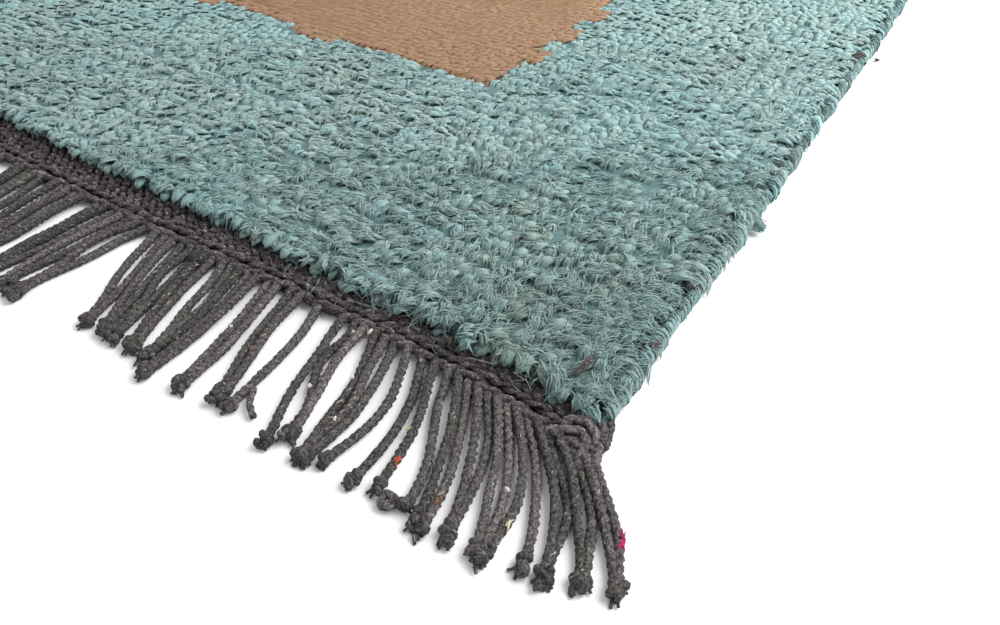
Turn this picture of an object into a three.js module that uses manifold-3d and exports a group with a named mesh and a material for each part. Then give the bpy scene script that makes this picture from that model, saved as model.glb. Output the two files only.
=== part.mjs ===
// A small hand-knotted wool rug of the Nepalese kind, lying flat. Millimetres, +Z up, origin on the
// floor under the middle of the rug, +X across its width, +Y along its length.
// The pile cloth is one solid. Its overcast side cords, flat-woven ends, twined edges and twisted
// fringes are the other pieces that a weaver adds, each a solid of its own.
import * as THREE from "three";
import { mergeVertices } from "three/addons/utils/BufferGeometryUtils.js";
import Module from "manifold-3d";

const wasm = await Module();
wasm.setup();

// Driving sizes. Reach is the distance out from the line where the pile nominally ends.
const PILE_WIDTH = 700; // over both side cords
const PILE_LENGTH = 1400;
const PILE_HEIGHT = 13;
const SIDE_HEIGHT = 9; // of the side cords, up to where the pile's shoulder starts
const SHOULDER = [{ inset: 0, drop: 4 }, { inset: 1.5, drop: 1.6 }, { inset: 4.5, drop: 0 }];
const SIDE_CORD_WIDTH = 7;
const KILIM_REACH = 8.2;
const KILIM_HEIGHT = 4.5;
const TWINED_REACH = 17;
const TWINED_HEIGHT = 6.5;
const COMB_BAR_REACH = 20;
const BAR_HEIGHT = 4;
const CORD_WIDTH = 3.2;
const CORD_HEIGHT = 3.6;
const KNOT_HEIGHT = 5;
const GAP = 0.3;

const SIDE_STATIONS = 12; // along the length

// How the hand-beaten sides and top wander: height of each wave, its length and where it starts.
const SIDE_WAVES = [{ rise: 0.9, length: 610, start: 40 }, { rise: 0.5, length: 233, start: 95 }];
const TOP_WAVES = { rise: 0.3, across: 180, along: 260 };

// How the lines across an end wander, the same way from every corner to the middle: the reach of
// the pile, and how far the twined edge strays from its nominal reach.
const END_LINES = [
  { fromCorner: 0, pile: 6.2, stray: 1.0 },
  { fromCorner: 20, pile: 5.2, stray: 0.4 },
  { fromCorner: 40, pile: 2.4, stray: -2.0 },
  { fromCorner: 70, pile: 1.5, stray: -3.8 },
  { fromCorner: 100, pile: 1.3, stray: -3.6 },
  { fromCorner: 150, pile: 1.2, stray: -1.8 },
  { fromCorner: 200, pile: 1.0, stray: 1.2 },
  { fromCorner: 250, pile: 1.0, stray: 3.0 },
  { fromCorner: 300, pile: 1.1, stray: 4.0 },
  { fromCorner: 350, pile: 1.2, stray: 4.2 },
];

// Bunches of fringe cords from a corner to the middle of an end, in order. space is the bare
// stretch before a bunch. lean is how much nearer the corner a tip lies than its root, reach how
// far out it lies, bow the bulge towards the corner half-way down: of the first and last cord.
const BUNCHES = [
  { cords: 2, pitch: 4.4, space: 0.0, lean: [31, 31], reach: [53, 57], bow: [2, 4] },
  { cords: 2, pitch: 4.4, space: 0.0, lean: [29, 29], reach: [57, 61], bow: [5, 6] },
  { cords: 2, pitch: 4.4, space: 0.0, lean: [29, 29], reach: [63, 65], bow: [6, 7] },
  { cords: 1, pitch: 4.4, space: 0.0, lean: [28, 28], reach: [64, 64], bow: [5, 5] },
  { cords: 3, pitch: 4.4, space: 0.0, lean: [26, 23], reach: [68, 68], bow: [5, 5] },
  { cords: 2, pitch: 4.4, space: 0.0, lean: [24, 24], reach: [68, 68], bow: [4, 4] },
  { cords: 2, pitch: 4.4, space: 0.0, lean: [25, 21], reach: [72, 68], bow: [3, 4] },
  { cords: 1, pitch: 5.0, space: 0.0, lean: [21, 21], reach: [66, 66], bow: [3, 3] },
  { cords: 1, pitch: 6.5, space: 0.0, lean: [18, 18], reach: [67, 67], bow: [1.5, 1.5] },
  { cords: 1, pitch: 6.5, space: 0.0, lean: [14, 14], reach: [70, 70], bow: [5.5, 5.5] },
  { cords: 1, pitch: 7.0, space: 0.0, lean: [8, 8], reach: [68, 68], bow: [7, 7] },
  { cords: 3, pitch: 4.8, space: 0.0, lean: [11, 13], reach: [71, 71], bow: [3, 4] },
  { cords: 2, pitch: 5.0, space: 0.0, lean: [15, 15], reach: [67, 66], bow: [-3, -2] },
  { cords: 1, pitch: 5.5, space: 0.0, lean: [17, 17], reach: [74, 74], bow: [-1.5, -1.5] },
  { cords: 1, pitch: 6.0, space: 8.0, lean: [9, 9], reach: [69, 69], bow: [2.5, 2.5] },
  { cords: 2, pitch: 5.5, space: 3.5, lean: [15, 15], reach: [68, 68], bow: [-2, -1] },
  { cords: 2, pitch: 5.0, space: 1.5, lean: [13, 11], reach: [74, 71], bow: [0, 1.5] },
  { cords: 5, pitch: 4.8, space: 1.0, lean: [5, 13], reach: [76, 68], bow: [2, 4] },
  { cords: 4, pitch: 4.2, space: 1.0, lean: [17, 14], reach: [69, 70], bow: [-3, -1] },
  { cords: 4, pitch: 5.4, space: 1.0, lean: [18.5, 20.5], reach: [69, 71], bow: [-2, 0] },
  { cords: 7, pitch: 5.4, space: 1.5, lean: [-7, -4], reach: [77, 74], bow: [-2, -1] },
  { cords: 5, pitch: 5.0, space: 6.0, lean: [-2, 3], reach: [73, 71], bow: [0, 0] },
  { cords: 5, pitch: 5.0, space: 5.5, lean: [2, 6], reach: [72, 73], bow: [1, 1] },
  { cords: 4, pitch: 5.2, space: 6.5, lean: [2, -1], reach: [73, 72], bow: [-1, 0] },
];
// The stray knot tied under the twined edge, the same distance from one corner at either end.
const STRAY_KNOT = { fromCorner: 190, reach: 22.5, width: 10, depth: 8.4, height: 7 };

const COLOURS = { teal: 0x78a5a5, charcoal: 0x4b4646 };
const ROUGHNESS = 0.95;

// Stations along a cord, with its height there: root, half-way, and just past its knotted tip.
const CORD_STATIONS = [
  { along: 0, height: CORD_HEIGHT },
  { along: 0.5, height: CORD_HEIGHT },
  { along: 1.03, height: KNOT_HEIGHT },
];

// Numbers from start to end in equal steps.
function steps(start, end, count) {
  return Array.from({ length: count + 1 }, (_, i) => start + ((end - start) * i) / count);
}

function waves(table, at) {
  return table.reduce(
    (sum, w) => sum + w.rise * Math.sin((2 * Math.PI * (at - w.start)) / w.length),
    0,
  );
}

// A column of END_LINES at a distance from the nearer corner.
function endLine(column, fromCorner) {
  const at = THREE.MathUtils.clamp(fromCorner, 0, PILE_WIDTH / 2);
  const next = Math.max(1, END_LINES.findIndex((row) => row.fromCorner >= at));
  const [a, b] = END_LINES.slice(next - 1, next + 1);
  return THREE.MathUtils.mapLinear(at, a.fromCorner, b.fromCorner, a[column], b[column]);
}

function fromCornerOf(x) {
  return PILE_WIDTH / 2 - Math.abs(x);
}

// Half the rug's width at a place along it, over the side cord.
function halfWidth(y) {
  return PILE_WIDTH / 2 + waves(SIDE_WAVES, y);
}

// Where the pile ends, as a distance from the rug's middle, at a place across it.
function pileEnd(x) {
  return PILE_LENGTH / 2 + endLine("pile", fromCornerOf(x));
}

// A line across an end at a nominal reach, straying as the twined edge does.
function strayLine(reach, x) {
  return PILE_LENGTH / 2 + reach + endLine("stray", fromCornerOf(x));
}

// The places across the rug where its ends are measured, from +X to -X.
function endStations() {
  const half = END_LINES.map((row) => PILE_WIDTH / 2 - row.fromCorner);
  return [...half, ...half.slice(0, -1).reverse().map((x) => -x)];
}

// A closed solid through sections, each a ring of points in the same order. In a ring the first
// point faces the last, the second the last but one, and so on, and the ends are closed between
// these pairs. The rings run so that the faces point out; flip turns them over.
function loft(sections, flip = false) {
  const ring = sections[0].length;
  const position = sections.flat().flatMap((p) => [p.x, p.y, p.z]);
  const index = [];
  const face = (a, b, c) => index.push(...(flip ? [a, c, b] : [a, b, c]));
  for (let s = 0; s + 1 < sections.length; s++) {
    for (let k = 0; k < ring; k++) {
      const here = s * ring + k;
      const next = s * ring + ((k + 1) % ring);
      face(here, next, here + ring);
      face(next, next + ring, here + ring);
    }
  }
  const last = (sections.length - 1) * ring;
  for (let k = 0; k + 1 <= ring - 2 - k; k++) {
    const [a, b, c, d] = [k, k + 1, ring - 2 - k, ring - 1 - k];
    face(a, d, c);
    face(last + a, last + c, last + d);
    if (b < c) {
      face(a, c, b);
      face(last + a, last + b, last + c);
    }
  }
  const geometry = new THREE.BufferGeometry();
  geometry.setAttribute("position", new THREE.Float32BufferAttribute(position, 3));
  geometry.setIndex(index);
  return geometry;
}

function solidOf(geometry) {
  const bare = geometry.clone();
  bare.deleteAttribute("normal");
  bare.deleteAttribute("uv");
  const merged = mergeVertices(bare, 1e-3);
  return new wasm.Manifold(
    new wasm.Mesh({
      numProp: 3,
      vertProperties: merged.attributes.position.array,
      triVerts: new Uint32Array(merged.index.array),
    }),
  );
}

function joined(geometries) {
  const mesh = wasm.Manifold.union(geometries.map(solidOf)).getMesh();
  const geometry = new THREE.BufferGeometry();
  geometry.setAttribute("position", new THREE.BufferAttribute(mesh.vertProperties, 3));
  geometry.setIndex(new THREE.BufferAttribute(mesh.triVerts, 1));
  return geometry;
}

function piece(name, geometry, colour) {
  const faceted = geometry.toNonIndexed();
  faceted.computeVertexNormals();
  const material = new THREE.MeshStandardMaterial({
    color: colour,
    roughness: ROUGHNESS,
    metalness: 0,
  });
  const mesh = new THREE.Mesh(faceted, material);
  mesh.name = name;
  return mesh;
}

// The knotted cloth: a slab with a rounded shoulder all round and a slightly uneven top.
function pileCloth() {
  const inner = SHOULDER.at(-1).inset;
  const edge = SIDE_CORD_WIDTH + GAP;
  const shoulder = SHOULDER.map((s) => ({ side: 1, ...s }));
  const inside = endStations().filter((x) => fromCornerOf(x) > edge + inner);
  const across = [
    ...shoulder,
    ...inside.map((x) => ({ side: 0, x, drop: 0 })),
    ...shoulder.map((s) => ({ ...s, side: -1 })).reverse(),
  ];
  const nominal = PILE_LENGTH / 2 - inner;
  const ends = SHOULDER.map((s) => ({ end: -1, y: -nominal, ...s }));
  const along = [
    ...ends,
    ...steps(-nominal, nominal, SIDE_STATIONS).slice(1, -1).map((y) => ({ end: 0, y, drop: 0 })),
    ...ends.map((s) => ({ ...s, end: 1, y: nominal })).reverse(),
  ];
  const sections = along.map((station) => {
    const top = across.map((column) => {
      const { side } = column;
      const { end } = station;
      const x = side ? side * (halfWidth(station.y) - edge - column.inset) : column.x;
      const y = end ? end * (pileEnd(x) - station.inset) : station.y;
      const drop = Math.max(column.drop, station.drop);
      const wave = Math.sin(x / TOP_WAVES.across) * Math.cos(y / TOP_WAVES.along);
      const uneven = side || end ? 0 : TOP_WAVES.rise * wave;
      return new THREE.Vector3(x, y, PILE_HEIGHT - drop + uneven);
    });
    return [...top, ...top.map((p) => p.clone().setZ(0)).reverse()];
  });
  return loft(sections, true);
}

// A ring of a strip that lies on the floor, with sloping top corners, as [place across, height].
function stripRing(inner, outer, height, bevel) {
  return [
    [inner, 0],
    [outer, 0],
    [outer, height - bevel],
    [outer - bevel, height],
    [inner + bevel, height],
    [inner, height - bevel],
  ];
}

// A strip across one end, through the ring that ringAt gives for each place across the rug.
function endStrip(end, ringAt) {
  const sections = endStations().map((x) =>
    ringAt(x).map(([y, z]) => new THREE.Vector3(x, end * y, z)),
  );
  return loft(sections, end > 0);
}

// The flat-woven end between the pile and the twined edge.
function kilimEnd(end) {
  const bevel = 0.8;
  return endStrip(end, (x) =>
    stripRing(pileEnd(x) + GAP, strayLine(KILIM_REACH, x), KILIM_HEIGHT, bevel),
  );
}

// The twined rows that lock the flat weave and carry the fringe.
function twinedEdge(end) {
  const bevel = 2;
  return endStrip(end, (x) =>
    stripRing(strayLine(KILIM_REACH + GAP, x), strayLine(TWINED_REACH, x), TWINED_HEIGHT, bevel),
  );
}

// The overcast cord along one side, beside the knotted cloth for its whole length.
function sideCord(side) {
  const bevel = 2.4;
  const limit = pileEnd(PILE_WIDTH / 2 - 1.3 * SIDE_CORD_WIDTH);
  const sections = steps(-limit, limit, SIDE_STATIONS).map((y) => {
    const outer = halfWidth(y);
    return stripRing(outer - SIDE_CORD_WIDTH, outer, SIDE_HEIGHT, bevel).map(
      ([x, z]) => new THREE.Vector3(side * x, y, z),
    );
  });
  return loft(sections, side > 0);
}

// The cords of half a fringe, each with its root's distance from the corner.
function cordsFromCorner() {
  const cords = [];
  let from = 0;
  for (const bunch of BUNCHES) {
    from += bunch.space;
    for (let i = 0; i < bunch.cords; i++) {
      const share = bunch.cords > 1 ? i / (bunch.cords - 1) : 0;
      const mix = ([first, last]) => first + (last - first) * share;
      const root = from + (i + 0.5) * bunch.pitch;
      cords.push({ root, lean: mix(bunch.lean), reach: mix(bunch.reach), bow: mix(bunch.bow) });
    }
    from += bunch.cords * bunch.pitch;
  }
  return cords;
}

// One cord's centre at a share of its length, on the floor. Its root lies in the comb's bar.
function cordAt(cord, side, end, along) {
  const start = (TWINED_REACH + COMB_BAR_REACH) / 2 + endLine("stray", cord.root);
  const fromCorner = cord.root - cord.lean * along - cord.bow * Math.sin(Math.PI * along);
  const reach = start + (cord.reach - start) * along;
  return new THREE.Vector3(
    side * (PILE_WIDTH / 2 - fromCorner),
    end * (PILE_LENGTH / 2 + reach),
    0,
  );
}

// A cord is a low ridge, flat below where it lies on the floor.
function cordSolid(cord, side, end) {
  const near = 0.01;
  const sections = CORD_STATIONS.map((station) => {
    const centre = cordAt(cord, side, end, station.along);
    const ahead = cordAt(cord, side, end, station.along + near);
    const forward = station.along ? ahead.sub(centre).normalize() : new THREE.Vector3(0, end, 0);
    const aside = new THREE.Vector3(-forward.y, forward.x, 0).multiplyScalar(CORD_WIDTH / 2);
    return [
      centre.clone().sub(aside),
      centre.clone().add(aside),
      centre.clone().setZ(station.height),
    ];
  });
  return loft(sections);
}

function strayKnot(side, end) {
  const [round, rings] = [10, 6];
  const ball = new THREE.SphereGeometry(0.5, round, rings);
  ball.scale(STRAY_KNOT.width, STRAY_KNOT.depth, STRAY_KNOT.height);
  ball.translate(
    side * (PILE_WIDTH / 2 - STRAY_KNOT.fromCorner),
    end * (PILE_LENGTH / 2 + STRAY_KNOT.reach),
    STRAY_KNOT.height / 2,
  );
  return ball;
}

// A fringe is one comb: its cords, joined along their roots by the bar under the twined edge.
function fringe(end) {
  const bar = endStrip(end, (x) => {
    const [inner, outer] = [strayLine(TWINED_REACH + GAP, x), strayLine(COMB_BAR_REACH, x)];
    return [[inner, 0], [outer, 0], [outer, BAR_HEIGHT], [inner, BAR_HEIGHT]];
  });
  const cords = [-1, 1].flatMap((side) =>
    cordsFromCorner().map((cord) => cordSolid(cord, side, end)),
  );
  return joined([bar, ...cords, strayKnot(-end, end)]);
}

const rug = new THREE.Group();
rug.add(piece("pile_cloth", pileCloth(), COLOURS.teal));
for (const [word, side] of [["left", -1], ["right", 1]]) {
  rug.add(piece(`side_cord_${word}`, sideCord(side), COLOURS.teal));
}
for (const [word, end] of [["front", -1], ["back", 1]]) {
  rug.add(piece(`kilim_end_${word}`, kilimEnd(end), COLOURS.charcoal));
  rug.add(piece(`twined_edge_${word}`, twinedEdge(end), COLOURS.charcoal));
  rug.add(piece(`fringe_${word}`, fringe(end), COLOURS.charcoal));
}

export default rug;
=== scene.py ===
"""The looks of a hand-knotted wool rug with a fringe, lying on a pale floor.

Sizes are in millimetres until a mesh is made. s is the distance from a corner of the rug along its
end, r the distance out from the nominal end of the pile, as in the solid model. The front end, at
-Y, is the photographed one, and the photographed corner is at +X, -Y.
"""

import bpy
import numpy as np
from mathutils import Matrix, Vector
from numpy import arange, clip, concatenate, cos, interp, linspace, maximum, pi, sin, stack, where
from numpy.random import default_rng


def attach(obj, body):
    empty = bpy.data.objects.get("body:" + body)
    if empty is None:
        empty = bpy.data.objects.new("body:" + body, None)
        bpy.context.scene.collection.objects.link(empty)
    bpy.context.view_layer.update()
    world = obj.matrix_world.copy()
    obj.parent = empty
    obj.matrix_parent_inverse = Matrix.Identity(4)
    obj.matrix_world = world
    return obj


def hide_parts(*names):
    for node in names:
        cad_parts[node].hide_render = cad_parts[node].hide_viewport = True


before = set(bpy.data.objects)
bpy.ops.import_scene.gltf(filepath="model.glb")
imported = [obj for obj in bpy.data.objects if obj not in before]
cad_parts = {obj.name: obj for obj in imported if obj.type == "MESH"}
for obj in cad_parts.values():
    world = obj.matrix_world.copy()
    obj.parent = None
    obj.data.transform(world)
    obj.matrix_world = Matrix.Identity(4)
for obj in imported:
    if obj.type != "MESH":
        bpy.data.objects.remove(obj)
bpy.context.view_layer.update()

# The rug's sizes, the same as in the solid model
HALF_X = 350.0  # half its width
HALF_Y = 700.0  # half its length, without the ends
SIDE_CORD_WIDTH = 7.0
SIDE_WAVES = ((0.9, 610.0, 40.0), (0.5, 233.0, 95.0))  # rise, length, start
END_S = (0, 20, 40, 70, 100, 150, 200, 250, 300, 350)
END_PILE = (6.2, 5.2, 2.4, 1.5, 1.3, 1.2, 1.0, 1.0, 1.1, 1.2)
END_STRAY = (1.0, 0.4, -2.0, -3.8, -3.6, -1.8, 1.2, 3.0, 4.0, 4.2)
KILIM_REACH = 8.2
TWINED_REACH = 17.0

# Bunches of fringe cords from a corner to the middle of an end: number of cords, pitch, bare
# space before them, then lean, reach and bow of the first and last cord
BUNCHES = (
    (2, 4.4, 0, 31, 31, 53, 57, 2, 4),
    (2, 4.4, 0, 29, 29, 57, 61, 5, 6),
    (2, 4.4, 0, 29, 29, 63, 65, 6, 7),
    (1, 4.4, 0, 28, 28, 64, 64, 5, 5),
    (3, 4.4, 0, 26, 23, 68, 68, 5, 5),
    (2, 4.4, 0, 24, 24, 68, 68, 4, 4),
    (2, 4.4, 0, 25, 21, 72, 68, 3, 4),
    (1, 5.0, 0, 21, 21, 66, 66, 3, 3),
    (1, 6.5, 0, 18, 18, 67, 67, 1.5, 1.5),
    (1, 6.5, 0, 14, 14, 70, 70, 5.5, 5.5),
    (1, 7.0, 0, 8, 8, 68, 68, 7, 7),
    (3, 4.8, 0, 11, 13, 71, 71, 3, 4),
    (2, 5.0, 0, 15, 15, 67, 66, -3, -2),
    (1, 5.5, 0, 17, 17, 74, 74, -1.5, -1.5),
    (1, 6.0, 8.0, 9, 9, 69, 69, 2.5, 2.5),
    (2, 5.5, 3.5, 15, 15, 68, 68, -2, -1),
    (2, 5.0, 1.5, 13, 11, 74, 71, 0, 1.5),
    (5, 4.8, 1.0, 5, 13, 76, 68, 2, 4),
    (4, 4.2, 1.0, 17, 14, 69, 70, -3, -1),
    (4, 5.4, 1.0, 18.5, 20.5, 69, 71, -2, 0),
    (7, 5.4, 1.5, -7, -4, 77, 74, -2, -1),
    (5, 5.0, 6.0, -2, 3, 73, 71, 0, 0),
    (5, 5.0, 5.5, 2, 6, 72, 73, 1, 1),
    (4, 5.2, 6.5, 2, -1, 73, 72, -1, 0),
)
CORD_RADIUS = 1.85
STRAY_KNOT = (190.0, 20.5, 3.6)  # s, r and height

# The pile
KNOT_COLUMNS = 80
KNOT_ROWS = 148
KNOT_PITCH = (8.6, 9.46)
BORDER = 169.0  # from the outer edge of the side cord, or the pile's end, to the camel field
FIELD_X = HALF_X - BORDER
FIELD_Y = HALF_Y - BORDER
# How far the field's edge steps in, mm, for each two rows from its corner and for each two columns
SIDE_STEPS = (0, 0, -5, 0, -5, 0, -5, 0, 0, -5)
END_STEPS = (0, 0, 0, 0, 0, 4, 0, -5, -5, 0, 0, 0)
FIRST_STEP = 9  # this many steps from the rug's own corner
NAP = np.radians(56)  # the pile leans this way from +X
LOBE_FOOT = 5.4
LOBE_TOP = 12.3
EDGE_ROOM = 4.8  # lobes nearer than this to the pile's edge fall outward, and have a lower row
GRAINS = (0.417, 0.5, 0.625)  # mm for a thousandth of the picture's width, the finest first
UNSEEN = len(GRAINS) + 1
# For each level of grain: lobes to a knot, rings, sides and half width of a lobe, then locks to a
# lobe, half a lock's width and its rings, and how rough the pile is
LOCKS = (
    (4, 5, 5, 2.1, 11, 0.4, 5, 1.2),
    (4, 5, 5, 2.1, 5, 0.48, 4, 1.1),
    (4, 4, 4, 2.4, 2, 0.55, 3, 0.81),
    (4, 4, 4, 2.5, 0, 0, 0, 0.36),
    (2, 3, 3, 3.2, 0, 0, 0, 0.5),
)
ROUGH = 0.8  # rougher pile than this is near the camera

# The camera, from the vanishing points of the rug's edges in the 1000 by 625 photograph
CAMERA_HEIGHT = 0.210
CAMERA_FROM_CORNER = (0.2516, -0.7764)  # in camera heights
CAMERA_HEADING = (-0.5338, 0.8455)
CAMERA_PITCH = np.radians(43.07)
CAMERA_ROLL = np.radians(1.29)
FOCAL_SHARE = 0.76  # focal length over the picture's width
SENSOR_WIDTH = 36.0

# The light, in metres
LAMP_PLACE = (0.78, -0.08, 0.74)
LAMP_AIM = (0.25, -0.4, 0)
LAMP_SIZE = 1.04
LAMP_ENERGY = 18
WORLD_STRENGTH = 0.72
FLOOR_SIZE = 40.0

UP = (0.0, 0.0, 1.0)
ALONG_SIDE = (0.0, 1.0, 0.0)
FLAT = (1, 1, 0)


def unit(v):
    return v / maximum(np.linalg.norm(v, axis=-1, keepdims=True), 1e-9)


def half_width(y):
    return HALF_X + sum(a * sin(2 * pi * (y - c) / b) for a, b, c in SIDE_WAVES)


def end_bulge(s):
    return interp(s, END_S, END_PILE)


def pile_end(x):
    return HALF_Y + end_bulge(HALF_X - abs(x))


def stray(s):
    return interp(s, END_S, END_STRAY)


def join(x, y, z):
    """Arrays joined to places or, from hue, light and depth, to tones, which wool() colours."""
    return stack(np.broadcast_arrays(x, y, z), -1)


def direction(angle, rise=0.0):
    """The direction at an angle from +X, and its rise."""
    return join(cos(angle), sin(angle), rise)


def straight(start, way, t, length):
    """Straight lines, (lines, len(t), 3)."""
    return start[:, None] + way[:, None] * t[:, None] * length


def distance(line):
    """The distance along each line at its points."""
    step = np.linalg.norm(np.diff(line, axis=1), axis=-1)
    return concatenate([np.zeros((len(line), 1)), np.cumsum(step, 1)], 1)


def show(obj):
    bpy.context.scene.collection.objects.link(obj)
    return obj


def piece(name, me, material, slot, *nodes):
    """The object of a mesh, riding on the rug in place of these nodes of the solid model."""
    me.materials.append(material)
    obj = show(bpy.data.objects.new(name, me))
    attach(obj, "root")
    if nodes:
        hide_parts(*nodes)
    return obj


class Yarns:
    """Gathers tubes of yarn, all at once from arrays, and makes one mesh of them."""

    def __init__(self, rng):
        self.rng, self.count = rng, 0
        self.points, self.faces, self.tone, self.yarn = [], [], [], []

    def add(self, points, tone, yarn):
        self.points.append(points.reshape(-1, 3))
        self.tone.append(np.broadcast_to(tone, points.shape).reshape(-1, 3))
        self.yarn.append(yarn.reshape(-1, 3))
        self.count += points[..., 0].size

    def tubes(self, centre, wide, thick, sides, tone, ref=UP, foot=True, pointed=False):
        """centre is (tubes, rings, 3), ref a direction for each tube, wide and thick the half sizes
        across and along ref at each ring, and tone three numbers for each ring. A pointed tube's
        last ring is one point, and its foot is open."""
        tubes, rings = centre.shape[:2]
        tangent = unit(np.gradient(centre, axis=1))
        ref = np.broadcast_to(np.atleast_2d(ref)[:, None, :], centre.shape)
        b = unit(ref - (ref * tangent).sum(-1, keepdims=True) * tangent)
        a = np.cross(b, tangent)
        wide = np.broadcast_to(wide, (tubes, rings))[..., None, None]
        thick = np.broadcast_to(thick, (tubes, rings))[..., None, None]
        turn = arange(sides) * 2 * pi / sides
        across = wide * a[:, :, None] * cos(turn)[:, None]
        points = centre[:, :, None] + across + thick * b[:, :, None] * sin(turn)[:, None]
        along = distance(centre) + self.rng.uniform(0, 900, (tubes, 1))
        wide = wide[..., 0]
        yarn = join(cos(turn) * wide, sin(turn) * wide, along[..., None])
        first = self.count
        tone = np.broadcast_to(tone, (tubes, rings, 3))[:, :, None]
        if pointed:
            self.add(points[:, :-1], tone[:, :-1], yarn[:, :-1])
            tips = self.count + arange(tubes)[:, None]
            self.add(centre[:, -1:], tone[:, -1], yarn[:, -1, :1])
            rings -= 1
        else:
            self.add(points, tone, yarn)
        index = first + arange(tubes * rings * sides).reshape(tubes, rings, sides)
        here, there = index[:, :-1], index[:, 1:]
        quads = stack([here, np.roll(here, -1, 2), np.roll(there, -1, 2), there], -1)
        self.faces.append(quads.reshape(-1, 4))
        last = index[:, -1]
        if pointed:
            self.faces.append(join(last, np.roll(last, -1, 1), tips).reshape(-1, 3))
            return
        if foot:
            self.faces.append(index[:, 0, ::-1])
        self.faces.append(last)

    def make(self, name, material, slot, *nodes):
        """The mesh object of all that was gathered, in metres, with nothing below the floor."""
        me = bpy.data.meshes.new(name)
        points = concatenate(self.points) / 1000
        points[:, 2] = maximum(points[:, 2], 0.0)
        me.vertices.add(len(points))
        me.vertices.foreach_set("co", points.ravel())
        loops = concatenate([f.ravel() for f in self.faces])
        sizes = concatenate([np.full(len(f), f.shape[1]) for f in self.faces])
        me.loops.add(len(loops))
        me.loops.foreach_set("vertex_index", loops)
        me.polygons.add(len(sizes))
        me.polygons.foreach_set("loop_start", np.cumsum(sizes) - sizes)
        me.polygons.foreach_set("use_smooth", np.ones(len(sizes), bool))
        for key, values in (("tone", self.tone), ("yarn", self.yarn)):
            data = me.attributes.new(key, "FLOAT_VECTOR", "POINT").data
            data.foreach_set("vector", concatenate(values).astype(np.float32).ravel())
        me.update(calc_edges=True)
        me.validate()
        return piece(name, me, material, slot, *nodes)


# Materials


class Look:
    """A material, with short ways to add nodes to it. A node's inputs are numbers, colours or the
    outputs of other nodes."""

    def __init__(self, name, inputs):
        self.material = bpy.data.materials.new(name)
        self.material.use_nodes = True
        self.tree = self.material.node_tree
        self.shader = self.tree.nodes["Principled BSDF"]
        self.fill(self.shader, inputs)

    def fill(self, node, inputs):
        for key, value in inputs.items():
            socket = node.inputs[key]
            if isinstance(value, bpy.types.NodeSocket):
                self.tree.links.new(value, socket)
            else:
                socket.default_value = (*value, 1) if socket.type == "RGBA" else value

    def add(self, kind, inputs, out=0, **settings):
        node = self.tree.nodes.new("ShaderNode" + kind)
        for key, value in settings.items():
            setattr(node, key, value)
        self.fill(node, inputs)
        return node.outputs[out]

    def mix(self, factor, a, b, blend="MIX"):
        return self.add("Mix", {0: factor, 6: a, 7: b}, 2, data_type="RGBA", blend_type=blend)

    def calc(self, operation, a, b):
        return self.add("Math", {0: a, 1: b}, operation=operation)

    def noise(self, vector, scale, detail, **more):
        return self.add("TexNoise", {"Vector": vector, "Scale": scale, "Detail": detail, **more})

    def ramp(self, value, low, high, bottom=0.0, top=1.0):
        ends = {"From Min": low, "From Max": high, "To Min": bottom, "To Max": top}
        return self.add("MapRange", {"Value": value, **ends})

    def split(self, vector):
        return self.add("SeparateXYZ", {0: vector}).node.outputs

    def finish(self, colour, height, strength, metres):
        bump = self.add("Bump", {"Strength": strength, "Distance": metres, "Height": height})
        self.fill(self.shader, {"Base Color": colour, "Normal": bump})
        return self.material


def wool(
    name, light, shade_colour, other, flecks=None,
    tweed=0.25, drawn=0.3, curl=0.0, grain=0.0, bump=0.5, sheen=0.3, soft=0.0,
):
    """Wool yarn: from light to other by the tone's first number, made lighter or darker by its
    second, and mixed towards its painted shade colour as its third falls to 0, with fibres that
    run along the yarn. Tweed is how unlike the fibres are, drawn how short and curl how crooked
    they are, grain how speckled it is, and flecks a colour and how rare it is."""
    surface = {
        "Roughness": 0.95,
        "Specular IOR Level": 0.12,
        "Sheen Weight": sheen,
        "Sheen Roughness": 0.55,
        "Sheen Tint": [0.22 + 0.78 * c for c in light],
        "Subsurface Weight": soft,
        "Subsurface Radius": (1, 1, 1),
        "Subsurface Scale": 0.003,
    }
    look = Look(name, surface)
    place = look.add("TexCoord", {}, "Object")
    yarn = look.add("Attribute", {}, "Vector", attribute_name="yarn")
    tone = look.add("Attribute", {}, "Vector", attribute_name="tone")
    hue, lightness, depth = look.split(tone)

    def along_yarn(stretch, detail, **more):
        vector = look.add("VectorMath", {0: yarn, 1: stretch}, operation="MULTIPLY")
        return look.noise(vector, 1.0, detail, **more)

    fibres = along_yarn((2.4, 2.4, drawn), 4.0, Distortion=curl)
    patches = look.noise(place, 260.0, 2.0)
    shades = [
        look.ramp(fibres, 0.3, 0.7, 1 - 1.3 * tweed, 1 + 1.5 * tweed),
        look.ramp(patches, 0.3, 0.7, 0.88, 1.1),
        look.ramp(lightness, 0.0, 1.0, 0.7, 1.3),
    ]
    height = look.calc("ADD", fibres, look.calc("MULTIPLY", patches, 0.4))
    if grain:
        specks = look.noise(place, 1000.0, 3.0)
        shades.append(look.ramp(specks, 0.38, 0.64, 1 - grain, 1 + 1.7 * grain))
        height = look.calc("ADD", height, look.calc("MULTIPLY", specks, 1.5))
    colour = look.mix(hue, light, other)
    for shade in shades:
        grey = look.add("CombineColor", {0: shade, 1: shade, 2: shade})
        colour = look.mix(1.0, colour, grey, "MULTIPLY")
    if flecks:
        fleck, rare = flecks
        small = along_yarn((1.1, 1.1, 0.45), 2.0)
        colour = look.mix(look.ramp(small, rare, rare + 0.05), colour, fleck)
    # Painted shade: the colour goes to the shade colour where the tone's third number is low
    return look.finish(look.mix(depth, shade_colour, colour), height, bump, 0.0006)


# Each wool's second colour is painted shade, for where its yarn lies in shade
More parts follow.
